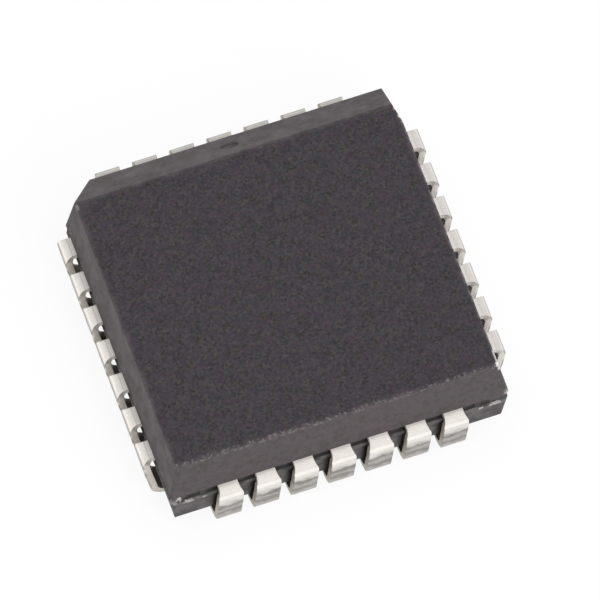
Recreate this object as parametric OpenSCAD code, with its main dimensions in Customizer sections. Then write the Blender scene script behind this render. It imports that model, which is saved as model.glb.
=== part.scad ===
// Plastic leaded chip carrier with J-shaped leads on all four sides.
// The origin is the middle of the package on the board plane, where the feet touch.
// +Z is up and +Y points to the pin 1 side, the one with the bevelled top edge.

/* [Package] */
// Number of leads on each of the four sides, odd so that pin 1 is in the middle of its side
side_leads = 7; // [5, 7]
// Distance between neighbouring leads, centre to centre
lead_spacing = 1.27; // [1.2:0.01:1.4]
// From the centre of a side's end lead to the corner of the moulding
corner_margin = 1.925; // [1.8:0.005:2.4]
// Height of the leads' top face above the board
lead_height = 2.65; // [2.5:0.05:3]

/* [Moulding] */
// Height of the moulding above the leads
upper_h = 1.7; // [1.5:0.05:2]
// Height of the outer wall below the leads
lower_h = 1.6; // [1.2:0.05:1.7]
// Draft of the four walls above the leads, in degrees
upper_draft = 9.4; // [3:0.2:12]
// Draft of the four walls below the leads, in degrees
lower_draft = 7; // [3:0.5:10]
// Height of the 45 degree bevel along the pin 1 side
bevel_h = 1.2; // [0.8:0.05:1.3]
// Cut across the pin 1 corner, measured along each side
index_chamfer = 1.14; // [0.9:0.02:1.3]
// Cut across each of the other three corners
corner_chamfer = 0.1; // [0.06:0.02:0.12]
// Depth of the groove that the lead frame leaves round the parting line
groove_depth = 0.07; // [0.03:0.01:0.12]
// How far the groove runs down below the leads
groove_drop = 0.1; // [0.04:0.01:0.15]
// Height of the sloping ledge below that groove
ledge_h = 0.12; // [0.06:0.01:0.2]
// Diameter of the pin 1 dimple in the bevel
dimple_d = 0.6; // [0.4:0.05:0.8]
// Depth of the pin 1 dimple
dimple_depth = 0.06; // [0.03:0.01:0.12]

/* [Underside] */
// Height of the middle platform above the board
standoff = 0.6; // [0.5:0.02:0.8]
// Free space between the lead tips and the platform
tip_clearance = 0.3; // [0.2:0.05:0.5]
// Diameter of the two ejector marks in the platform
ejector_d = 1.5; // [1:0.1:2]
// Depth of the ejector marks
ejector_depth = 0.05; // [0.03:0.01:0.1]
// Ejector mark's distance from the middle, along X and along Y
ejector_place = 2.4; // [1.5:0.1:2.7]

/* [Lead outside the moulding] */
// Thickness of the lead frame
lead_t = 0.25; // [0.2:0.01:0.28]
// How far the leads stand out of the moulding
lead_reach = 0.425; // [0.4:0.005:0.55]
// Width where the lead leaves the moulding
neck_w = 0.66; // [0.5:0.01:0.72]
// Width of the drop and of the foot
lead_w = 0.83; // [0.74:0.01:0.86]
// Height over which the shoulder widens from the neck to the drop
shoulder_h = 0.2; // [0.1:0.01:0.3]
// Outer radius of the shoulder bend
bend_r = 0.35; // [0.3:0.01:0.39]
// Outer radius of the foot
foot_r = 0.65; // [0.6:0.01:0.76]
// Inward lean of the drop, in degrees
lead_lean = 8.5; // [6:0.5:10]
// How far round the foot its tip curls, in degrees from straight out
foot_sweep = 165; // [140:1:172]

/* [Lead frame inside the moulding] */
// Length of the straight finger behind the wall
finger_straight = 0.8; // [0.5:0.05:1]
// Distance between finger tips, centre to centre
tip_spacing = 0.62; // [0.56:0.01:0.7]
// Width of a finger tip
tip_w = 0.4; // [0.3:0.01:0.46]
// Length of the straight bonding land at the tip
land_len = 0.6; // [0.45:0.05:0.8]
// From the centre of a side's end tip to the corner of the ring of tips
tip_corner = 0.69; // [0.6:0.01:0.9]
// Gap between the tips and the paddle
paddle_gap = 0.35; // [0.25:0.01:0.5]
// How far the paddle lies below the leads
paddle_downset = 0.2; // [0.1:0.02:0.3]
// Length of the sloping step in each tie bar
downset_len = 0.4; // [0.3:0.05:0.6]
// How much the step is drawn thinner, on each of its faces
step_thin = 0.02; // [0.01:0.005:0.04]
// Width of the tie bars that carry the paddle
tie_w = 0.2; // [0.15:0.01:0.3]
// From the centre of a side's end lead to the tie bar's cut end
tie_offset = 0.84; // [0.7:0.02:1]

/* [Die and wires] */
// Free rim of the paddle round the die
die_margin = 0.4; // [0.3:0.02:0.6]
// Thickness of the silicon die
die_t = 0.38; // [0.25:0.01:0.5]
// Thickness of the die attach layer
attach_t = 0.03; // [0.02:0.01:0.06]
// How far the die attach is squeezed out past the die
attach_squeeze = 0.08; // [0.04:0.01:0.15]
// Distance of the bond pads from the die's edge
pad_inset = 0.15; // [0.1:0.01:0.25]
// From the centre of a row's end pad to the die's corner
pad_corner = 0.45; // [0.3:0.05:0.6]
// Thickness of a bond wire
wire_d = 0.03; // [0.02:0.005:0.05]
// Diameter of the ball bond on the pad
ball_d = 0.09; // [0.07:0.01:0.12]
// Height of the ball bond
ball_h = 0.025; // [0.02:0.005:0.04]
// Height that the wire rises above its ball
loop_rise = 0.16; // [0.1:0.01:0.3]
// Length of the stitch that lies on the finger
stitch_len = 0.12; // [0.08:0.01:0.2]
// Distance of the stitch's end from the finger tip
stitch_inset = 0.32; // [0.25:0.01:0.4]

/* [Hidden] */
sides = 4;
side_turn = 360 / sides;
diagonal = side_turn / 2;
bevel_angle = 45;
// Corners are counted anticlockwise from the one at +X +Y
index_corner = 1;
plain_corners = [0, 2, 3];
lead_count = sides * side_leads;
slots = (side_leads - 1) / 2;
function two_digits(n) = n < 10 ? str("0", n) : str(n);
function lead_name(pin) = str("lead_", two_digits(pin));
function wire_name(pin) = str("bond_wire_", two_digits(pin));

// Levels above the board
lead_top = lead_height;
lead_bottom = lead_top - lead_t;
top_z = lead_top + upper_h;
rim_z = lead_bottom - lower_h;
bevel_z = top_z - bevel_h;
paddle_top = lead_top - paddle_downset;
paddle_bottom = paddle_top - lead_t;
die_bottom = paddle_top + attach_t;
die_top = die_bottom + die_t;

// Half widths of the moulding at its levels
half = slots * lead_spacing + corner_margin;
rim_half = half - lower_h * tan(lower_draft);
top_half = half - upper_h * tan(upper_draft);
bevel_half = half - (upper_h - bevel_h) * tan(upper_draft);
bevel_top = bevel_half - bevel_h;

// The lead's path: centres of its two bends and length of the drop between them
bend_u = half + lead_reach - bend_r;
bend_z = lead_top - bend_r;
foot_z = foot_r;
foot_u = bend_u + (bend_r - foot_r + (foot_z - bend_z) * sin(lead_lean)) / cos(lead_lean);
drop_len = (bend_z - foot_z - (bend_r - foot_r) * sin(lead_lean)) / cos(lead_lean);
tip_inner = foot_u + foot_r * cos(foot_sweep);
platform_half = tip_inner - tip_clearance;

// Places along the lead frame, measured from the middle
tip_u = slots * tip_spacing + tip_corner;
land_u = tip_u + land_len;
knee_u = half - finger_straight;
paddle_half = tip_u - paddle_gap;
die_half = paddle_half - die_margin;
pad_u = die_half - pad_inset;
pad_spacing = (die_half - pad_corner) / slots;
stitch_u = tip_u + stitch_inset;
tie_u = slots * lead_spacing + tie_offset;

// Sizes of cutting shapes that only have to reach past the part
margin = 1;
reach = half + lead_reach + margin;
span = 2 * reach;

$fn = 64;

// Pins run anticlockwise from the middle of the back side, seen from above
function pin_step(pin) = (pin - 1 + slots) % lead_count;
function pin_turn(pin) = side_turn * (1 + floor(pin_step(pin) / side_leads));
function pin_slot(pin) = pin_step(pin) % side_leads - slots;

// Turns a side's own frame, +X outwards and +Y along the side, to where the pin is
module at_pin(pin) {
    rotate([0, 0, pin_turn(pin)]) children();
}

// Outline of a strip that follows a path, with mitred corners
function unit(v) = v / norm(v);
function left_of(v) = [-v.y, v.x];
function side_of(path, i) = left_of(unit(path[i + 1] - path[i]));
function mitre(a, b) = (a + b) / (1 + a * b);
function edge_at(path, i, last) =
    i == 0 ? side_of(path, 0)
    : i == last ? side_of(path, last - 1)
    : mitre(side_of(path, i - 1), side_of(path, i));
function edge_points(path, offset) =
    [for (i = [0:len(path) - 1]) path[i] + offset * edge_at(path, i, len(path) - 1)];
function reversed(list) = [for (i = [len(list) - 1:-1:0]) list[i]];
module strip(path, width) {
    polygon(concat(edge_points(path, width / 2), reversed(edge_points(path, -width / 2))));
}

// Part of a flat ring between two angles, which run clockwise
module ring_sector(outer, inner, start, end) {
    steps = 6;
    intersection() {
        difference() {
            circle(outer);
            circle(inner);
        }
        polygon(concat(
            [[0, 0]],
            [for (i = [0:steps]) let (a = start + (end - start) * i / steps) 2 * outer * [cos(a), sin(a)]]
        ));
    }
}

// Stands a drawing up: its x runs along the part's X, its y up, and it is as deep as given along Y
module stand_along_x(depth) {
    rotate([90, 0, 0]) linear_extrude(depth, center = true) children();
}

// The same with the drawing's x along the part's Y
module stand_along_y(depth) {
    rotate([90, 0, 90]) linear_extrude(depth, center = true) children();
}

// Wall of the moulding in section, from the rim up to the parting line
lower_wall = [
    [rim_half, rim_z],
    [half, lead_bottom - groove_drop - ledge_h],
    [half - groove_depth, lead_bottom - groove_drop],
    [half - groove_depth, lead_top],
    [half, lead_top]
];
plain_wall = concat(lower_wall, [[top_half, top_z]]);
bevel_wall = concat(lower_wall, [[bevel_half, bevel_z], [bevel_top, top_z]]);
function mirrored(wall) = [for (p = reversed(wall)) [-p.x, p.y]];

// Everything outside a corner's cut face, which leans in above and below the leads
module corner_cut(corner, chamfer) {
    out = (2 * half - chamfer) / sqrt(2);
    rotate([0, 0, diagonal + corner * side_turn]) {
        translate([out, 0, lead_top]) rotate([0, -upper_draft, 0]) corner_waste();
        translate([out, 0, lead_bottom]) rotate([0, lower_draft, 0]) corner_waste();
    }
}
module corner_waste() {
    translate([0, -span / 2, -span / 2]) cube(span);
}

// The moulding before anything is set into it
module moulding_blank() {
    difference() {
        intersection() {
            stand_along_x(span) polygon(concat(plain_wall, mirrored(plain_wall)));
            stand_along_y(span) polygon(concat(bevel_wall, mirrored(plain_wall)));
        }
        corner_cut(index_corner, index_chamfer);
        for (corner = plain_corners) corner_cut(corner, corner_chamfer);
    }
    platform();
}

// Raised middle of the underside, inside the ring of lead tips
module platform() {
    foot_half = platform_half - (rim_z - standoff) * tan(lower_draft);
    wall = [[foot_half, standoff], [platform_half, rim_z]];
    intersection() {
        stand_along_x(span) polygon(concat(wall, mirrored(wall)));
        stand_along_y(span) polygon(concat(wall, mirrored(wall)));
    }
}

// Round pin 1 mark, square to the bevel
module pin_one_dimple() {
    translate([0, (bevel_half + bevel_top) / 2, (bevel_z + top_z) / 2])
        rotate([-bevel_angle, 0, 0])
            translate([0, 0, -dimple_depth]) cylinder(d = dimple_d, h = dimple_depth + margin);
}

module ejector_marks() {
    for (side = [-1, 1])
        translate([side * ejector_place, side * ejector_place, standoff - margin])
            cylinder(d = ejector_d, h = ejector_depth + margin);
}

module moulded_body() {
    color("#4a4648")
    difference() {
        moulding_blank();
        pin_one_dimple();
        ejector_marks();
        for (pin = [1:lead_count]) finger(pin);
        paddle_shape();
        attach_shape();
        die_shape();
        for (pin = [1:lead_count]) wire_shape(pin);
    }
}

// Flat inner end of a lead, from its bonding land out to the shoulder bend
module finger(pin) {
    root = pin_slot(pin) * lead_spacing;
    tip = pin_slot(pin) * tip_spacing;
    at_pin(pin)
        translate([0, 0, lead_bottom])
            linear_extrude(lead_t)
                polygon([
                    [bend_u, root - neck_w / 2],
                    [bend_u, root + neck_w / 2],
                    [knee_u, root + neck_w / 2],
                    [land_u, tip + tip_w / 2],
                    [tip_u, tip + tip_w / 2],
                    [tip_u, tip - tip_w / 2],
                    [land_u, tip - tip_w / 2],
                    [knee_u, root - neck_w / 2]
                ]);
}

// Section of the J: shoulder bend, leaning drop and curled foot
module j_section() {
    translate([bend_u, bend_z]) {
        ring_sector(bend_r, bend_r - lead_t, 90, -lead_lean);
        rotate(-lead_lean) {
            translate([bend_r - lead_t, -drop_len]) square([lead_t, drop_len]);
            translate([bend_r - foot_r, -drop_len])
                ring_sector(foot_r, foot_r - lead_t, 0, lead_lean - foot_sweep);
        }
    }
}

// Outline of the lead seen from outside: gable sides that widen down the shoulder, then one width
module j_outline() {
    gable_h = shoulder_h * lead_w / (lead_w - neck_w);
    shoulder_z = lead_top - shoulder_h;
    polygon([
        [-lead_w / 2, -margin],
        [lead_w / 2, -margin],
        [lead_w / 2, shoulder_z],
        [0, shoulder_z + gable_h],
        [-lead_w / 2, shoulder_z]
    ]);
}

module lead(pin) {
    color("#c9c5bd") {
        finger(pin);
        at_pin(pin)
            translate([0, pin_slot(pin) * lead_spacing, 0])
                intersection() {
                    stand_along_x(lead_w) j_section();
                    stand_along_y(span) j_outline();
                }
    }
}

// Outline of the moulding at the parting line, where the tie bars are cut off
module parting_outline() {
    small = corner_chamfer;
    polygon([
        [half, small - half], [half, half - small], [half - small, half],
        [index_chamfer - half, half], [-half, half - index_chamfer],
        [-half, small - half], [small - half, -half], [half - small, -half]
    ]);
}

// Tie bar of the +X +Y corner: the drawn-thin step up from the paddle
module tie_bar_step() {
    corner = paddle_half * sqrt(2);
    step = [
        [corner - tie_w, paddle_bottom + step_thin],
        [corner, paddle_bottom + step_thin],
        [corner + downset_len, lead_bottom + step_thin],
        [corner + downset_len + tie_w, lead_bottom + step_thin],
        [corner + downset_len + tie_w, lead_top - step_thin],
        [corner + downset_len, lead_top - step_thin],
        [corner, paddle_top - step_thin],
        [corner - tie_w, paddle_top - step_thin]
    ];
    rotate([0, 0, diagonal]) stand_along_x(tie_w - 2 * step_thin) polygon(step);
}

// From the step along the diagonal and then straight out past the wall
module tie_bar_run() {
    start = paddle_half + downset_len / sqrt(2);
    strip([[start, start], [tie_u, tie_u], [tie_u, reach]], tie_w);
}

module paddle_shape() {
    translate([-paddle_half, -paddle_half, paddle_bottom]) cube([2 * paddle_half, 2 * paddle_half, lead_t]);
    for (x = [0, 1], y = [0, 1]) mirror([x, 0, 0]) mirror([0, y, 0]) tie_bar_step();
    translate([0, 0, lead_bottom])
        linear_extrude(lead_t)
            intersection() {
                for (x = [0, 1], y = [0, 1]) mirror([x, 0]) mirror([0, y]) tie_bar_run();
                parting_outline();
            }
}
module die_paddle() {
    color("#b9764a") paddle_shape();
}

module attach_shape() {
    size = 2 * (die_half + attach_squeeze);
    translate([-size / 2, -size / 2, paddle_top]) cube([size, size, attach_t]);
}
module die_attach() {
    color("#b8b8b4") attach_shape();
}

module die_shape() {
    translate([-die_half, -die_half, die_bottom]) cube([2 * die_half, 2 * die_half, die_t]);
}
module silicon_die() {
    color("#5b6470") die_shape();
}

// Ball on the die's pad, loop, and stitch on the finger of the same pin
module wire_shape(pin) {
    pad = [pad_u, pin_slot(pin) * pad_spacing];
    stitch = [stitch_u, pin_slot(pin) * tip_spacing];
    run = stitch - pad;
    path = [
        [0, die_top + ball_h / 2],
        [0, die_top + ball_h + loop_rise],
        [norm(run) - stitch_len, lead_top + wire_d / 2],
        [norm(run), lead_top + wire_d / 2]
    ];
    at_pin(pin)
        translate(pad) {
            translate([0, 0, die_top]) cylinder(d = ball_d, h = ball_h, $fn = 8);
            rotate([0, 0, atan2(run.y, run.x)]) stand_along_x(wire_d) strip(path, wire_d);
        }
}
module bond_wire(pin) {
    color("#d9a63a") wire_shape(pin);
}

moulded_body();
die_paddle();
die_attach();
silicon_die();
for (pin = [1:lead_count]) {
    lead(pin);
    bond_wire(pin);
}
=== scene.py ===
import math
import random

import bmesh
import bpy
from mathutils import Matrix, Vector, noise


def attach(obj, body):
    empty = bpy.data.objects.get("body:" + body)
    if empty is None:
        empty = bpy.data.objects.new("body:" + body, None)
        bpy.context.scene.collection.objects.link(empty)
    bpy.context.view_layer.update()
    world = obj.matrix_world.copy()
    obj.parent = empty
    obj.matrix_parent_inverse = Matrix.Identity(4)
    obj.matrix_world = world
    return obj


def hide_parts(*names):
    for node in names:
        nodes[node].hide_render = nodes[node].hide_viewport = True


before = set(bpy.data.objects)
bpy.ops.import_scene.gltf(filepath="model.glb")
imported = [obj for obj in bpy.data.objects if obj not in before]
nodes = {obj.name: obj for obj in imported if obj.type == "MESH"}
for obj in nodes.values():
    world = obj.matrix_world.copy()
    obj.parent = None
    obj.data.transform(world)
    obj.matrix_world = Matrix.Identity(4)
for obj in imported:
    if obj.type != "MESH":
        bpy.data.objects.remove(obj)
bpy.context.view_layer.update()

MM = 0.001
scene = bpy.context.scene
scene.view_settings.view_transform = "Standard"

# Sizes of the part in millimetres and degrees, as its source has them
LEADS, SIDE_LEADS, SPACING = 28, 7, 1.27
HALF, LEAD_TOP, THICK = 5.735, 2.65, 0.25
UPPER_H, LOWER_H, BEVEL_H, STANDOFF = 1.7, 1.6, 1.2, 0.6
UPPER_DRAFT, GROOVE_DROP, LEDGE_H = 9.4, 0.1, 0.12
REACH, NECK_W, LEAD_W, SHOULDER_H = 0.425, 0.66, 0.83, 0.2
BEND_R, FOOT_R, LEAN, SWEEP = 0.35, 0.65, 8.5, 165.0
TIP_SPACING, TIP_W, TIP_U, LAND, STRAIGHT = 0.62, 0.4, 2.55, 0.6, 0.8

# What follows from them
SLOTS = (SIDE_LEADS - 1) // 2
UPPER_SLOPE = math.tan(math.radians(UPPER_DRAFT))
LEAD_BOTTOM = LEAD_TOP - THICK
TOP_Z, RIM_Z = LEAD_TOP + UPPER_H, LEAD_BOTTOM - LOWER_H
TOP_HALF = HALF - UPPER_H * UPPER_SLOPE
BEVEL_Z = TOP_Z - BEVEL_H
BEVEL_TOP = HALF - (UPPER_H - BEVEL_H) * UPPER_SLOPE - BEVEL_H
GROOVE_Z, LEDGE_Z = LEAD_BOTTOM - GROOVE_DROP, LEAD_BOTTOM - (GROOVE_DROP + LEDGE_H)
KNEE_U = HALF - STRAIGHT

# Wear of the back right corner: a plane, by a point in millimetres and its normal
WORN_AT, WORN_NORMAL = (5.41, 5.652, 3.15), (0.961, 0.162, 0.2256)


# Node helpers

NOISE_LOW, NOISE_HIGH = 0.3, 0.7


class Tree:
    """The nodes of a material or of the world, with short calls for the few kinds used here."""

    def __init__(self, owner, output="ShaderNodeOutputMaterial"):
        owner.use_nodes = True
        self.owner, self.nt = owner, owner.node_tree
        self.nt.nodes.clear()
        self.out = self.add(output)

    def add(self, kind, **inputs):
        node = self.nt.nodes.new(kind)
        for key, value in inputs.items():
            self.put(node.inputs[key.replace("_", " ")], value)
        return node

    def put(self, socket, value):
        if isinstance(value, bpy.types.NodeSocket):
            self.nt.links.new(value, socket)
        else:
            socket.default_value = value

    def fill(self, node, *values):
        """Puts values in a node's first inputs."""
        for socket, value in zip(node.inputs, values):
            self.put(socket, value)
        return node.outputs

    def math(self, op, a, b=0.0):
        node = self.add("ShaderNodeMath")
        node.operation = op
        return self.fill(node, a, b)[0]

    def times(self, *values):
        result = values[0]
        for value in values[1:]:
            result = self.math("MULTIPLY", result, value)
        return result

    def vector(self, op, a, b=(0, 0, 0)):
        node = self.add("ShaderNodeVectorMath")
        node.operation = op
        return self.fill(node, a, b)["Value" if op == "LENGTH" else "Vector"]

    def mm(self):
        """The object's own coordinates in millimetres."""
        at = self.add("ShaderNodeTexCoord").outputs["Object"]
        return self.vector("DIVIDE", at, (MM, MM, MM))

    def noise(self, at, scale, detail=2.0, rough=0.5):
        """Noise with about so many waves to the millimetre."""
        node = self.add("ShaderNodeTexNoise", Vector=at, Scale=scale, Detail=detail, Roughness=rough)
        return node.outputs["Fac"]

    def spots(self, at, scale):
        return self.add("ShaderNodeTexVoronoi", Vector=at, Scale=scale).outputs["Distance"]

    def slope(self, value, low, high, to_low=0.0, to_high=1.0, kind="LINEAR"):
        """A value between low and high, moved to another range and held at its ends."""
        node = self.add("ShaderNodeMapRange")
        node.interpolation_type = kind
        return self.fill(node, value, low, high, to_low, to_high)[0]

    def step(self, value, low, high, to_low=0.0, to_high=1.0):
        """A slope with soft ends."""
        return self.slope(value, low, high, to_low, to_high, "SMOOTHSTEP")

    def spread(self, value, to_low=0.0, to_high=1.0):
        """A noise value, which keeps to the middle of its range, over the whole of another."""
        return self.step(value, NOISE_LOW, NOISE_HIGH, to_low, to_high)

    def band(self, value, low, high, soft):
        """1 between low and high, with soft ends."""
        return self.times(self.step(value, low - soft, low + soft),
                          self.step(value, high + soft, high - soft))

    def blob(self, at, centre, size, ragged):
        """1 inside an ellipsoid whose edge is torn by a noise value."""
        offset = self.vector("DIVIDE", self.vector("SUBTRACT", at, centre), size)
        away = self.math("ADD", self.vector("LENGTH", offset), self.spread(ragged, -0.6, 0.6))
        return self.step(away, 1.1, 0.7)

    def mix(self, fac, a, b):
        node = self.add("ShaderNodeMix")
        node.data_type = "RGBA"
        self.put(node.inputs[0], fac)
        self.put(node.inputs[6], a)
        self.put(node.inputs[7], b)
        return node.outputs[2]

    def ramp(self, value, stops):
        node = self.add("ShaderNodeValToRGB")
        self.put(node.inputs[0], value)
        while len(node.color_ramp.elements) < len(stops):
            node.color_ramp.elements.new(0.5)
        for element, (place, colour) in zip(node.color_ramp.elements, stops):
            element.position, element.color = place, colour
        return node.outputs["Color"]

    def split(self, vector):
        return self.add("ShaderNodeSeparateXYZ", Vector=vector).outputs

    def outward(self, x, y):
        """How far a point lies from the middle, towards the nearest of the four sides."""
        return self.math("MAXIMUM", self.math("ABSOLUTE", x), self.math("ABSOLUTE", y))

    def attribute(self, name):
        node = self.add("ShaderNodeAttribute")
        node.attribute_name = name
        return node.outputs["Fac"]

    def bump(self, height, strength, depth):
        node = self.add("ShaderNodeBump", Height=height, Strength=strength, Distance=depth * MM)
        return node.outputs[0]

    def show(self, shader):
        self.put(self.out.inputs["Surface"], shader.outputs[0])

    def principled(self, **inputs):
        self.show(self.add("ShaderNodeBsdfPrincipled", **inputs))


def new_look(name):
    return Tree(bpy.data.materials.new(name))


def rgb(r, g, b):
    return (r, g, b, 1.0)


def warm(bright):
    """The slightly warm grey of tin at a given brightness."""
    return rgb(bright, bright * 0.95, bright * 0.90)


# Moulding compound

TOP_DARK, TOP_PALE = rgb(0.0185, 0.0145, 0.0165), rgb(0.063, 0.0558, 0.0588)
TOP_MAUVE, TOP_SLATE = rgb(0.049, 0.031, 0.052), rgb(0.027, 0.0315, 0.039)
TOP_TAN, TOP_CORNER = rgb(0.051, 0.040, 0.030), rgb(0.062, 0.055, 0.059)
TOP_GLINT = rgb(0.13, 0.12, 0.14)
WALL_DARK, WALL_PALE = rgb(0.056, 0.044, 0.048), rgb(0.080, 0.064, 0.068)
WALL_MAUVE, WALL_OLIVE = rgb(0.088, 0.064, 0.079), rgb(0.036, 0.036, 0.031)
WALL_PITS, WALL_DUST = rgb(0.036, 0.029, 0.030), rgb(0.110, 0.090, 0.096)
LOW_DARK, LOW_PALE = rgb(0.020, 0.012, 0.014), rgb(0.036, 0.023, 0.026)
LEDGE_DARK, LEDGE_LIT_PALE = rgb(0.050, 0.045, 0.045), rgb(0.135, 0.126, 0.124)
GROOVE_SHADE_DARK, GROOVE_SHADE_PALE = rgb(0.006, 0.005, 0.005), rgb(0.020, 0.014, 0.014)
DIMPLE_SHADE, DIMPLE_WALL_LIGHT = rgb(0.022, 0.018, 0.019), rgb(0.14, 0.132, 0.134)
RUBBED, FRONT_EDGE_HIGHLIGHT, RIGHT_EDGE_GLINT = rgb(0.17, 0.16, 0.16), rgb(0.20, 0.185, 0.185), rgb(0.62, 0.58, 0.59)
RED = rgb(0.040, 0.008, 0.010)

# Films of mould flash left on the moulding, and a painted glint at the front right corner of its top: centre
# and half size in millimetres, and brightness
FLASH_AND_GLINT = [
    ((5.46, -5.68, 2.46), (0.40, 0.16, 0.26), 0.075),
    ((-5.50, -5.68, 2.46), (0.30, 0.16, 0.20), 0.085),
    ((-5.66, -5.68, 2.24), (0.20, 0.16, 0.12), 0.26),
    ((-5.44, -5.70, 2.36), (0.07, 0.12, 0.12), 0.60),
    ((-5.12, -5.70, 2.12), (0.20, 0.14, 0.11), 0.42),
    ((-4.57, -5.68, 2.12), (0.10, 0.12, 0.07), 0.45),
    ((4.78, -5.68, 2.15), (0.09, 0.12, 0.07), 0.50),
    ((5.25, -5.70, 2.15), (0.26, 0.14, 0.09), 0.45),
    ((5.64, -5.66, 2.68), (0.09, 0.12, 0.18), 0.36),
    # A painted glint, not flash
    ((5.40, -5.40, 4.34), (0.07, 0.07, 0.07), 0.85),
    ((-5.43, 4.26, 4.32), (0.06, 0.14, 0.08), 0.20),
]
STAIN = ((5.38, 4.40, 4.34), (0.10, 0.10, 0.09))
FLASH_AND_GLINT_COVER, STAIN_COVER = 0.85, 0.8
DIMPLE_AT = (0.0, BEVEL_TOP + BEVEL_H / 2, TOP_Z - BEVEL_H / 2)

# The worn plane's line across the top: x where y is 0, and its fall with y
WORN_FALL = WORN_NORMAL[1] / WORN_NORMAL[0]
WORN_X = WORN_AT[0] + WORN_FALL * WORN_AT[1] - (TOP_Z - WORN_AT[2]) * WORN_NORMAL[2] / WORN_NORMAL[0]


def mould_compound():
    t = new_look("mould_compound_look")
    at = t.mm()
    x, y, z = t.split(at)
    grain = t.noise(at, 10.5, 4.0, 0.75)
    blotch = t.noise(at, 1.6, 3.0, 0.6)
    fine = t.noise(at, 30.0, 2.0, 0.7)
    tint = t.noise(t.vector("ADD", at, (31.0, 7.0, 0.0)), 3.4, 2.0, 0.6)
    shade = t.noise(t.vector("ADD", at, (5.0, 43.0, 0.0)), 4.6, 2.0, 0.6)

    # The matt top stops a little short of its edges, along a ragged line
    aside = t.math("MINIMUM", t.math("SUBTRACT", TOP_HALF, t.math("ABSOLUTE", x)),
                   t.math("MINIMUM", t.math("ADD", y, TOP_HALF), t.math("SUBTRACT", BEVEL_TOP, y)))
    torn = t.math("ADD", t.spread(blotch, -0.07, 0.07), t.spread(grain, -0.05, 0.05))
    on_top = t.times(t.step(z, TOP_Z - 0.1, TOP_Z - 0.03),
                     t.step(t.math("ADD", aside, torn), -0.03, 0.13))

    top = t.mix(t.step(grain, 0.36, 0.64), TOP_DARK, TOP_PALE)
    top = t.mix(t.step(tint, 0.42, 0.62, 0.0, 0.5), top, TOP_MAUVE)
    top = t.mix(t.step(shade, 0.45, 0.65, 0.0, 0.5), top, TOP_SLATE)
    top = t.mix(t.step(shade, 0.45, 0.30, 0.0, 0.4), top, TOP_TAN)
    top = t.mix(t.step(t.math("SUBTRACT", y, x), 9.0, 9.4, 0.0, 0.4), top, TOP_CORNER)
    glint = t.times(t.step(t.spots(at, 7.0), 0.20, 0.05), t.step(fine, 0.52, 0.64), 0.5)
    top = t.mix(glint, top, TOP_GLINT)

    # The walls are paler than the top: partly the top's own matt finish, partly a painted sheen that the
    # walls catch at a slant
    wall = t.mix(t.spread(blotch), WALL_DARK, WALL_PALE)
    wall = t.mix(t.step(tint, 0.46, 0.62, 0.0, 0.6), wall, WALL_MAUVE)
    wall = t.mix(t.step(shade, 0.46, 0.62, 0.0, 0.65), wall, WALL_OLIVE)
    wall = t.mix(t.step(grain, 0.45, 0.72, 0.0, 0.5), wall, WALL_PITS)
    wall = t.mix(t.step(fine, 0.45, 0.62, 0.0, 0.45), wall, WALL_DUST)
    low = t.mix(t.spread(grain), LOW_DARK, LOW_PALE)
    # The ledge is pale partly from flash and wear on it, partly from painted light that it catches from
    # above
    ledge_flash_and_light = t.mix(t.step(blotch, 0.42, 0.60), LEDGE_DARK, LEDGE_LIT_PALE)
    # Painted shade: the parting groove is painted near black, as the shadow inside it
    groove_shade = t.mix(t.spread(grain), GROOVE_SHADE_DARK, GROOVE_SHADE_PALE)

    # The dimple has a painted shade, a soft dark spot on its near side, and painted light, paler, on the
    # wall of its far side
    offset = t.vector("SUBTRACT", at, DIMPLE_AT)
    _, off_y, off_z = t.split(offset)
    dimple_shade = t.times(t.step(t.vector("LENGTH", offset), 0.44, 0.24),
                   t.step(t.math("SUBTRACT", off_y, off_z), 0.22, -0.10), 0.55)
    wall = t.mix(dimple_shade, wall, DIMPLE_SHADE)
    facing = t.split(t.add("ShaderNodeNewGeometry").outputs["Normal"])[1]
    far_wall_light = t.times(t.step(facing, 0.05, -0.15), t.step(y, 4.6, 4.7),
                       t.step(z, LEAD_TOP, LEAD_TOP + 0.2))
    wall = t.mix(far_wall_light, wall, DIMPLE_WALL_LIGHT)

    # From the wall down over the parting groove, in painted shade, and its ledge, partly in painted light,
    # then the top
    colour = t.mix(t.step(z, LEAD_TOP - 0.02, LEAD_TOP - 0.04), wall, groove_shade)
    colour = t.mix(t.step(z, GROOVE_Z - 0.03, GROOVE_Z - 0.06), colour, ledge_flash_and_light)
    colour = t.mix(t.step(z, LEDGE_Z - 0.07, LEDGE_Z - 0.13), colour, low)
    colour = t.mix(on_top, colour, top)

    # Rubbed edges; painted highlight specks along the front one; and on the right one, which is rubbed, a
    # painted highlight, strongest towards its ends
    rubbed = t.times(t.attribute("edge"), t.step(fine, 0.42, 0.62), t.step(blotch, 0.38, 0.58), 0.5)
    colour = t.mix(rubbed, colour, RUBBED)
    front = t.times(t.step(y, -TOP_HALF + 0.16, -TOP_HALF + 0.06), t.step(z, TOP_Z - 0.14, TOP_Z - 0.1))
    front_highlight = t.times(front, t.step(t.noise(at, 9.0), 0.52, 0.64), 0.6)
    colour = t.mix(front_highlight, colour, FRONT_EDGE_HIGHLIGHT)
    worn = t.math("SUBTRACT", t.math("SUBTRACT", WORN_X, t.times(y, WORN_FALL)), x)
    brink = t.step(t.math("MINIMUM", t.math("SUBTRACT", TOP_HALF, x), worn), 0.07, 0.02)
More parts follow.
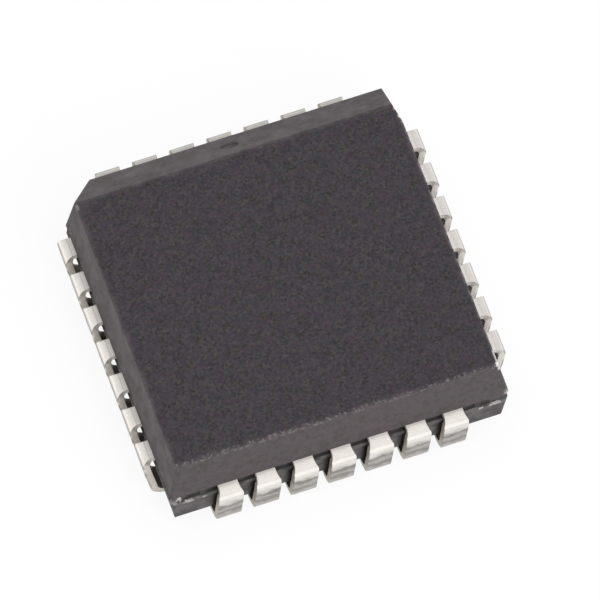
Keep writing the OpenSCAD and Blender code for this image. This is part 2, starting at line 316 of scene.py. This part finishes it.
    # Painted highlight on the rubbed right edge, strong at its ends and broken between them
    front_end = t.step(y, -4.82, -4.94)
    ends = t.math("MAXIMUM", t.band(y, 3.75, 4.35, 0.1), front_end)
    broken = t.math("MAXIMUM", t.step(t.noise(at, 5.0), 0.44, 0.54), front_end)
    right = t.times(brink, t.step(z, TOP_Z - 0.3, TOP_Z - 0.2), broken, t.step(ends, 0.0, 1.0, 0.15, 0.9))
    colour = t.mix(right, colour, RIGHT_EDGE_GLINT)
    # Flash films, and the painted glint at the corner of the top
    for centre, size, bright in FLASH_AND_GLINT:
        flash_and_glint = t.times(t.blob(at, centre, size, grain), FLASH_AND_GLINT_COVER)
        colour = t.mix(flash_and_glint, colour, rgb(bright, bright * 0.97, bright * 0.96))
    colour = t.mix(t.times(t.blob(at, *STAIN, grain), STAIN_COVER), colour, RED)

    # The top is rougher than the walls, and what lies below the ledge is smoother
    rough = t.math("ADD", t.step(on_top, 0.0, 1.0, 0.56, 0.70), t.spread(fine, -0.05, 0.07))
    rough = t.math("SUBTRACT", rough, t.step(z, LEDGE_Z, LEDGE_Z - 0.1, 0.0, 0.16))
    rough = t.math("ADD", rough, t.times(t.step(on_top, 1.0, 0.0), t.step(blotch, 0.34, 0.66, -0.09, 0.09)))
    height = t.math("ADD", t.times(fine, 0.6), grain)
    t.principled(Base_Color=colour, Roughness=rough, IOR=1.45,
                 Normal=t.bump(height, t.step(on_top, 0.0, 1.0, 0.18, 0.6), 0.012))
    return t.owner


# Tin plate

TIN_STREAK_REFLECTION, TIN_CREASE_SHADE, TIN_GRAIN = rgb(0.30, 0.27, 0.23), rgb(0.36, 0.33, 0.28), rgb(0.52, 0.49, 0.44)
TIN_BEND_SHADE, TIN_CLOUD, TIN_NECK_HIGHLIGHT = rgb(0.05, 0.05, 0.045), warm(0.64), warm(1.0)
CUT_DARK, CUT_PALE, CUT_LIT = rgb(0.56, 0.515, 0.44), rgb(0.78, 0.73, 0.64), warm(0.95)

# Painted light and reflection along the J: brightness by the run in millimetres from where the bend starts,
# and the runs it covers
TIN_LIGHT_STOPS = [
    (-0.25, 0.60), (0.02, 0.66), (0.10, 0.76), (0.16, 0.90), (0.24, 1.00), (0.74, 1.00), (0.93, 0.76),
    (1.10, 0.52), (1.20, 0.22), (1.29, 0.24), (1.38, 0.50), (1.62, 0.58), (1.79, 0.31), (1.95, 0.27),
    (2.08, 0.54), (2.30, 0.64),
]
RUN_BEFORE, RUN_SPAN = 0.5, 4.0

# A lead stands in the row of a side where it lies this far out
ROW_FROM, ROW_TO = 5.0, 5.2


def tin_plate():
    t = new_look("tin_plate_look")
    at = t.mm()
    shear, run = t.attribute("shear"), t.attribute("run")
    cloud = t.noise(at, 3.0, 3.0, 0.6)
    grain = t.noise(at, 24.0, 3.0, 0.6)
    wave = t.noise(at, 2.6, 2.0, 0.55)
    drawn = t.noise(t.vector("MULTIPLY", at, (1.0, 1.0, 0.25)), 30.0)
    streaked = t.noise(t.vector("MULTIPLY", at, (1.0, 1.0, 3.0)), 7.0, 3.0, 0.7)
    x, y, _ = t.split(at)
    back, front = t.step(y, ROW_FROM, ROW_TO), t.step(y, -ROW_FROM, -ROW_TO)
    right, left = t.step(x, ROW_FROM, ROW_TO), t.step(x, -ROW_FROM, -ROW_TO)

    # Painted light and reflection along the J, from the neck over the bright bend to the darker, scored drop
    # and foot
    bent = t.math("ADD", run, t.times(t.spread(wave, -0.13, 0.13), t.step(run, 0.5, 0.9)))
    place = t.math("DIVIDE", t.math("ADD", bent, RUN_BEFORE), RUN_SPAN)
    plate = t.ramp(place, [((at_run + RUN_BEFORE) / RUN_SPAN, warm(bright)) for at_run, bright in TIN_LIGHT_STOPS])
    plate = t.mix(t.step(cloud, 0.35, 0.75, 0.0, 0.17), plate, TIN_CLOUD)
    # Painted streaks of dark reflection down the drop
    plate = t.mix(t.times(t.step(streaked, 0.45, 0.62), t.step(bent, 0.92, 1.15), 0.6), plate, TIN_STREAK_REFLECTION)
    # Painted shade: a dark line where the bend starts, on the front and left rows
    crease_shaded = t.step(t.math("MAXIMUM", back, right), 1.0, 0.0)
    plate = t.mix(t.times(t.band(run, 0.05, 0.08, 0.015), crease_shaded, 0.6), plate, TIN_CREASE_SHADE)
    plate = t.mix(t.step(grain, 0.55, 0.75, 0.0, 0.15), plate, TIN_GRAIN)

    # Painted shade: every row but the front has a darker bend. Painted highlight: the front and right rows
    # have brighter necks
    turned = t.math("ADD", t.step(run, 0.08, 0.26, 0.0, 0.18), t.step(run, 0.28, 0.42, 0.0, 0.42))
    bend_shade = t.math("MAXIMUM", t.times(back, t.step(run, 0.14, 0.30), t.step(run, 0.62, 0.46), 0.66),
                  t.times(right, turned, t.step(run, 0.70, 0.54)))
    bend_shade = t.math("MAXIMUM", bend_shade, t.times(left, t.step(run, 0.34, 0.50), t.step(run, 0.80, 0.64), 0.60))
    plate = t.mix(bend_shade, plate, TIN_BEND_SHADE)
    neck_highlight = t.math("MAXIMUM", t.times(right, t.step(run, 0.06, 0.0), 0.45),
                  t.times(front, t.step(run, 0.16, 0.04), 0.65))
    plate = t.mix(neck_highlight, plate, TIN_NECK_HIGHLIGHT)
    cut = t.mix(t.step(drawn, 0.35, 0.65), CUT_DARK, CUT_PALE)
    # Painted light: the sheared sides of the right and left rows are paler
    cut = t.mix(t.math("MAXIMUM", t.times(right, 0.5), t.times(left, 0.4)), cut, CUT_LIT)
    colour = t.mix(shear, plate, cut)

    rough = t.math("ADD", t.step(bent, 0.8, 1.2, 0.26, 0.38), t.times(shear, 0.1))
    metal = t.math("SUBTRACT", t.step(run, -0.02, 0.25, 0.35, 0.88), t.times(shear, 0.45))
    height = t.math("ADD", grain, t.times(drawn, 0.6))
    t.principled(Base_Color=colour, Metallic=metal, Roughness=rough, Normal=t.bump(height, 0.25, 0.006))
    return t.owner


# What the moulding hides

COPPER_DARK, COPPER_PALE, COPPER_ROUGH = rgb(0.62, 0.33, 0.20), rgb(0.80, 0.48, 0.32), 0.34
GOLD_DARK, GOLD_PALE, GOLD_ROUGH = rgb(0.86, 0.58, 0.20), rgb(0.98, 0.74, 0.32), 0.2


def plain_metal(name, dark, pale, rough):
    t = new_look(name)
    at = t.mm()
    cloud = t.noise(at, 4.0, 3.0, 0.6)
    grain = t.noise(at, 40.0, 3.0, 0.6)
    colour = t.mix(t.spread(cloud), dark, pale)

    # Ends cut off at the moulding's wall are dark
    x, y, _ = t.split(at)
    cut_end = t.step(t.outward(x, y), HALF - 0.2, HALF - 0.1)
    colour = t.mix(cut_end, colour, t.mix(t.spread(grain), warm(0.02), warm(0.06)))
    t.principled(Base_Color=colour, Metallic=1.0, Roughness=t.spread(grain, rough - 0.06, rough + 0.08),
                 Normal=t.bump(grain, 0.2, 0.004))
    return t.owner


def silver_epoxy():
    t = new_look("silver_epoxy_look")
    flake = t.spots(t.mm(), 30.0)
    colour = t.mix(t.step(flake, 0.1, 0.5), rgb(0.62, 0.62, 0.60), rgb(0.42, 0.42, 0.41))
    t.principled(Base_Color=colour, Metallic=0.4, Roughness=t.step(flake, 0.1, 0.5, 0.4, 0.65),
                 Normal=t.bump(flake, 0.3, 0.005))
    return t.owner


def silicon():
    t = new_look("silicon_look")
    at = t.mm()
    cells = t.add("ShaderNodeTexBrick", Vector=at, Scale=3.0, Color1=rgb(0.10, 0.11, 0.14),
                  Color2=rgb(0.15, 0.14, 0.16), Mortar=rgb(0.30, 0.28, 0.24))
    haze = t.noise(at, 6.0)
    colour = t.mix(t.spread(haze, 0.0, 0.4), cells.outputs["Color"], rgb(0.13, 0.15, 0.19))
    t.principled(Base_Color=colour, Metallic=0.3, Roughness=t.spread(haze, 0.12, 0.22))
    return t.owner


def dress(obj, look):
    obj.data.materials.clear()
    obj.data.materials.append(look)


def dress_inside():
    dress(nodes["die_paddle"], plain_metal("copper_look", COPPER_DARK, COPPER_PALE, COPPER_ROUGH))
    dress(nodes["die_attach"], silver_epoxy())
    dress(nodes["silicon_die"], silicon())
    gold = plain_metal("gold_look", GOLD_DARK, GOLD_PALE, GOLD_ROUGH)
    for pin in range(1, LEADS + 1):
        dress(nodes["bond_wire_%02d" % pin], gold)


def place(name, mesh, look, node, slot):
    """Puts a new mesh in the scene as the dressed form of a CAD node."""
    obj = bpy.data.objects.new(name, mesh)
    scene.collection.objects.link(obj)
    dress(obj, look)
    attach(obj, "root")
    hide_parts(node)


# Moulding: the CAD form with its outer edges broken and one corner rubbed away

NEAR = 0.01
EDGE_BREAK, EDGE_STEPS = 0.05, 3
SAME_POINT, SAME_PLANE, ON_PLANE = 1e-8, math.radians(0.05), 1e-9
BLUNT = math.radians(4)
WALL_OUT, PLATFORM_OUT = HALF - 0.5, 3.5
UPPER_CORNER, LOWER_CORNER = 0.2, 0.5


def all_at(points, z):
    return all(abs(p.z - z) < NEAR for p in points)


def out_of(points):
    """How far out, to the nearest of the four sides, the innermost of some points lies."""
    return min(max(abs(p.x), abs(p.y)) for p in points)


def outer_edge(edge):
    """True for the edges of the moulding that a mould can't leave sharp."""
    if len(edge.link_faces) != 2 or edge.calc_face_angle(0.0) < BLUNT:
        return False
    ends = [v.co / MM for v in edge.verts]
    low, high = sorted(p.z for p in ends)
    out, tall = out_of(ends), high - low
    above = low > LEAD_TOP - NEAR and tall > UPPER_CORNER and out > BEVEL_TOP - 0.1
    below = high < LEDGE_Z + NEAR and tall > LOWER_CORNER and out > WALL_OUT
    rim = all_at(ends, RIM_Z) and out > WALL_OUT
    platform = all_at(ends, STANDOFF) and out > PLATFORM_OUT
    return above or below or rim or platform or any(all_at(ends, z) for z in (TOP_Z, BEVEL_Z, LEDGE_Z))


def wear_corner(bm):
    """Takes off the back right corner along a plane, as the photograph shows it rubbed away."""
    made = bmesh.ops.bisect_plane(bm, geom=bm.verts[:] + bm.edges[:] + bm.faces[:], dist=ON_PLANE,
                                  clear_outer=True, plane_co=Vector(WORN_AT) * MM,
                                  plane_no=Vector(WORN_NORMAL))
    cut = [part for part in made["geom_cut"] if isinstance(part, bmesh.types.BMEdge)]
    return set(bmesh.ops.contextual_create(bm, geom=cut)["faces"])


def break_edges(bm, edges):
    made = bmesh.ops.bevel(bm, geom=edges, offset=EDGE_BREAK * MM, offset_type="OFFSET", segments=EDGE_STEPS,
                           profile=0.5, affect="EDGES", clamp_overlap=True)
    return set(made["faces"])


def make_body():
    bm = bmesh.new()
    bm.from_mesh(nodes["moulded_body"].data)
    bmesh.ops.remove_doubles(bm, verts=bm.verts, dist=SAME_POINT)
    bmesh.ops.dissolve_limit(bm, angle_limit=SAME_PLANE, verts=bm.verts, edges=bm.edges)
    worn = wear_corner(bm)
    rounds = break_edges(bm, [e for e in bm.edges if outer_edge(e) and not worn & set(e.link_faces)])
    edge = bm.verts.layers.float.new("edge")
    for face in bm.faces:
        face.smooth = face in rounds
    for vert in bm.verts:
        vert[edge] = float(all(face in rounds for face in vert.link_faces))
    mesh = bpy.data.meshes.new("moulding")
    bm.to_mesh(mesh)
    bm.free()
    place("moulding", mesh, mould_compound(), "moulded_body", "mould_compound")


# Leads: the CAD form with rolled and sheared edges and the marks of forming

BEND_U, BEND_Z = HALF + REACH - BEND_R, LEAD_TOP - BEND_R
LEAN_A = math.radians(LEAN)
FOOT_U = BEND_U + (BEND_R - FOOT_R + (FOOT_R - BEND_Z) * math.sin(LEAN_A)) / math.cos(LEAN_A)
DROP = (BEND_Z - FOOT_R - (BEND_R - FOOT_R) * math.sin(LEAN_A)) / math.cos(LEAN_A)
BEND_RUN = BEND_R * math.radians(90 + LEAN)
BEND_STEPS, DROP_STEPS, FOOT_STEPS = 14, 30, 26
NECK_AT = (TIP_U, TIP_U + LAND, KNEE_U, HALF - 0.05, HALF, BEND_U - 0.03)

# Edges of the strip, and a swell that rises to a scored kink on the drop, in millimetres
ROLL, BURR, BURR_SHEAR, ROLL_STEPS, ACROSS_STEPS = 0.02, 0.012, 0.3, 3, 10
SWELL, SWELL_RISE, SWELL_FALL, SWELL_START = 0.02, 0.66, 0.5, 0.1
SCORE, SCORE_W, WANDER, DENT = 0.014, 0.035, 0.05, 0.004
KINK = BEND_RUN + SWELL_RISE
CREASE_A = math.radians(38)


def clamp(x):
    return min(1.0, max(0.0, x))


def smooth(x):
    x = clamp(x)
    return x * x * (3 - 2 * x)


def lead_path():
    """Stations down the outer face: (out, up, angle of its normal, run along the J, negative inside)."""
    path = [(u, LEAD_TOP, 90.0, u - BEND_U) for u in NECK_AT]
    for i in range(BEND_STEPS + 1):
        angle = 90 - (90 + LEAN) * i / BEND_STEPS
        a = math.radians(angle)
        path.append((BEND_U + BEND_R * math.cos(a), BEND_Z + BEND_R * math.sin(a), angle,
                     BEND_RUN * i / BEND_STEPS))
    u, z, _, run = path[-1]
    for i in range(1, DROP_STEPS + 1):
        d = DROP * i / DROP_STEPS
        path.append((u - d * math.sin(LEAN_A), z - d * math.cos(LEAN_A), -LEAN, run + d))
    run = path[-1][3]
    for i in range(1, FOOT_STEPS + 1):
        turn = (SWEEP - LEAN) * i / FOOT_STEPS
        a = math.radians(-LEAN - turn)
        path.append((FOOT_U + FOOT_R * math.cos(a), FOOT_R + FOOT_R * math.sin(a), -LEAN - turn,
                     run + FOOT_R * math.radians(turn)))
    return path


def fan(u):
    """0 at the bonding land and 1 where the finger runs straight."""
    return clamp((u - TIP_U - LAND) / (KNEE_U - TIP_U - LAND))


def half_width(u, z, run):
    if run < 0:
        return (TIP_W + (NECK_W - TIP_W) * fan(u)) / 2
    shoulder = 1.0 if z < BEND_Z else clamp((LEAD_TOP - z) / SHOULDER_H)
    return (NECK_W + (LEAD_W - NECK_W) * shoulder) / 2


def section(hw):
    """One cut across the lead: (across, depth below the outer face, shear), round the strip."""
    corner = [(ROLL * (1 - math.sin(a)), ROLL * (1 - math.cos(a)))
              for a in (math.radians(90 * i / ROLL_STEPS) for i in range(ROLL_STEPS + 1))]
    face = [(hw - inset, depth, 0.0) for inset, depth in corner]
    side = [(hw, depth, 1.0) for depth in (0.3 * THICK, 0.7 * THICK, THICK - BURR)]
    right = face + side + [(hw - BURR, THICK, BURR_SHEAR)]
    left = [(-across, depth, shear) for across, depth, shear in reversed(right)]
    flat = hw - ROLL
    outer = [(-flat + 2 * flat * i / ACROSS_STEPS, 0.0, 0.0) for i in range(1, ACROSS_STEPS)]
    return left + outer + right


def scored(across, run, shift):
    """How far forming has pushed the outer face in or out, in millimetres."""
    if run <= 0:
        return 0.0
    past = run - KINK - WANDER * noise.noise(Vector((across * 3.0, 0.3, 0.0)) + shift)
    reach = SWELL_RISE if past < 0 else SWELL_FALL
    swell = SWELL * max(0.0, 1 - abs(past) / reach) * smooth((run - BEND_RUN) / SWELL_START)
    score = SCORE * math.exp(-(past / SCORE_W) ** 2)
    return swell - score + DENT * noise.noise(Vector((across * 4.0, run * 4.0, 0.0)) + shift)


def make_lead(pin, path, look):
    step = (pin - 1 + SLOTS) % LEADS
    turn = math.radians(90 * (1 + step // SIDE_LEADS))
    slot = step % SIDE_LEADS - SLOTS
    seed = random.Random(100 + pin)
    shift = Vector((seed.uniform(0, 50), seed.uniform(0, 50), 0.0))
    verts, shear, runs, rings = [], [], [], []
    for u, z, angle, run in path:
        centre = slot * (TIP_SPACING + (SPACING - TIP_SPACING) * fan(u)) if run < 0 else slot * SPACING
        out, up = math.cos(math.radians(angle)), math.sin(math.radians(angle))
        ring = []
        for across, depth, cut in section(half_width(u, z, run)):
            push = scored(across, run, shift) * (0.5 if depth > 0.8 * THICK else 1.0) - depth
            a, b = u + out * push, centre + across
            ring.append(len(verts))
            verts.append(((a * math.cos(turn) - b * math.sin(turn)) * MM,
                          (a * math.sin(turn) + b * math.cos(turn)) * MM, max(0.0, z + up * push) * MM))
            shear.append(cut)
            runs.append(run)
        rings.append(ring)
    n = len(rings[0])
    faces = [rings[0], rings[-1]]
    for a, b in zip(rings, rings[1:]):
        faces += [(a[i], b[i], b[(i + 1) % n], a[(i + 1) % n]) for i in range(n)]
    name = "lead_%02d" % pin
    mesh = bpy.data.meshes.new("j_" + name)
    mesh.from_pydata(verts, [], faces)
    mesh.attributes.new("shear", "FLOAT", "POINT").data.foreach_set("value", shear)
    mesh.attributes.new("run", "FLOAT", "POINT").data.foreach_set("value", runs)
    bm = bmesh.new()
    bm.from_mesh(mesh)
    bmesh.ops.recalc_face_normals(bm, faces=bm.faces)
    bm.to_mesh(mesh)
    bm.free()
    mesh.shade_smooth()
    mesh.set_sharp_from_angle(angle=CREASE_A)
    place("j_" + name, mesh, look, name, "tin_plate")


# Floor, light and camera

FLOOR_HALF, FLOOR_WHITE = 1.5, rgb(0.94, 0.94, 0.94)
FOOTPRINT = HALF - 0.1
CAMERA_SHARE = 0.9
# Painted shadow in what the tin mirrors: the floor's glow under the part, beside it, and in the open
UNDER, BESIDE, OPEN = 0.04, 0.78, 1.0
ROOM_LIGHT, ROOM_BEHIND = 0.6, 0.55


def seen_rays(t):
    """Sockets that say whether a ray comes from the camera, or through a mirror or glass."""
    path = t.add("ShaderNodeLightPath").outputs
    return path["Is Camera Ray"], t.math("MAXIMUM", path["Is Glossy Ray"], path["Is Transmission Ray"])


def floor_look():
    """White to the camera but for a faint shadow; in what the tin mirrors it holds a painted shadow, dark
    under the part and dimmer beside it.
    """
    t = new_look("floor_look")
    camera, mirrored = seen_rays(t)
    x, y, _ = t.split(t.mm())
    away = t.outward(x, y)
    glow_with_painted_shadow = t.math("ADD", t.step(away, FOOTPRINT - 0.7, FOOTPRINT - 0.3, UNDER, BESIDE),
                  t.step(away, FOOTPRINT + 1.0, FOOTPRINT + 4.0, 0.0, OPEN - BESIDE))
    lit = t.add("ShaderNodeBsdfDiffuse", Color=FLOOR_WHITE)
    white = t.add("ShaderNodeEmission", Color=rgb(1.0, 1.0, 1.0), Strength=t.math("MAXIMUM", camera, glow_with_painted_shadow))
    share = t.math("MAXIMUM", t.times(camera, CAMERA_SHARE), mirrored)
    both = t.add("ShaderNodeMixShader")
    t.fill(both, share, lit.outputs[0], white.outputs[0])
    t.show(both)
    return t.owner


def make_floor():
    corners = [(-FLOOR_HALF, -FLOOR_HALF, 0), (FLOOR_HALF, -FLOOR_HALF, 0),
               (FLOOR_HALF, FLOOR_HALF, 0), (-FLOOR_HALF, FLOOR_HALF, 0)]
    mesh = bpy.data.meshes.new("floor")
    mesh.from_pydata(corners, [], [(0, 1, 2, 3)])
    floor = bpy.data.objects.new("floor", mesh)
    scene.collection.objects.link(floor)
    dress(floor, floor_look())


def make_world():
    """White to the camera, and dimmer behind the part in what the tin mirrors."""
    scene.world = bpy.data.worlds.new("studio")
    t = Tree(scene.world, "ShaderNodeOutputWorld")
    camera, mirrored = seen_rays(t)
    _, y, _ = t.split(t.add("ShaderNodeTexCoord").outputs["Generated"])
    room = t.times(mirrored, t.slope(y, 0.5, 0.9, 1.0, ROOM_BEHIND))
    light = t.slope(t.math("MAXIMUM", camera, mirrored), 0.0, 1.0, ROOM_LIGHT, 0.0)
    strength = t.math("MAXIMUM", light, t.math("MAXIMUM", camera, room))
    t.show(t.add("ShaderNodeBackground", Strength=strength))


def lamp(name, at, size, power):
    data = bpy.data.lights.new(name, "AREA")
    data.shape, data.size, data.energy = "DISK", size, power
    obj = bpy.data.objects.new(name, data)
    obj.location = at
    obj.rotation_mode = "QUATERNION"
    obj.rotation_quaternion = (-Vector(at)).to_track_quat("-Z", "Y")
    obj.visible_camera = obj.visible_glossy = False
    scene.collection.objects.link(obj)


def make_camera():
    """The camera of the photograph, fitted to its rows of leads and the edges of its moulding."""
    azimuth, elevation = math.radians(-19.31), math.radians(64.36)
    distance, lens, right_mm, down_mm = 0.4269, 797.9, 0.6099, 0.2047
    back = Vector((math.sin(azimuth) * math.cos(elevation), -math.cos(azimuth) * math.cos(elevation),
                   math.sin(elevation)))
    turn = (-back).to_track_quat("-Z", "Y")
    right, up = turn @ Vector((1, 0, 0)), turn @ Vector((0, 1, 0))
    aim = Vector((0, 0, LEAD_TOP * MM)) + (right * right_mm - up * down_mm) * MM
    data = bpy.data.cameras.new("camera")
    data.lens, data.sensor_width = lens, 36.0
    data.clip_start, data.clip_end = 0.01, 10.0
    obj = bpy.data.objects.new("camera", data)
    obj.location = aim + back * distance
    obj.rotation_mode = "QUATERNION"
    obj.rotation_quaternion = turn
    scene.collection.objects.link(obj)
    scene.camera = obj


dress_inside()
make_body()
tin_look, j_path = tin_plate(), lead_path()
for lead_pin in range(1, LEADS + 1):
    make_lead(lead_pin, j_path, tin_look)
make_floor()
make_world()
lamp("overhead", at=(0.0, 0.0, 0.95), size=1.0, power=4.0)
lamp("front_right", at=(0.20, -0.75, 0.70), size=0.8, power=5.2)
make_camera()
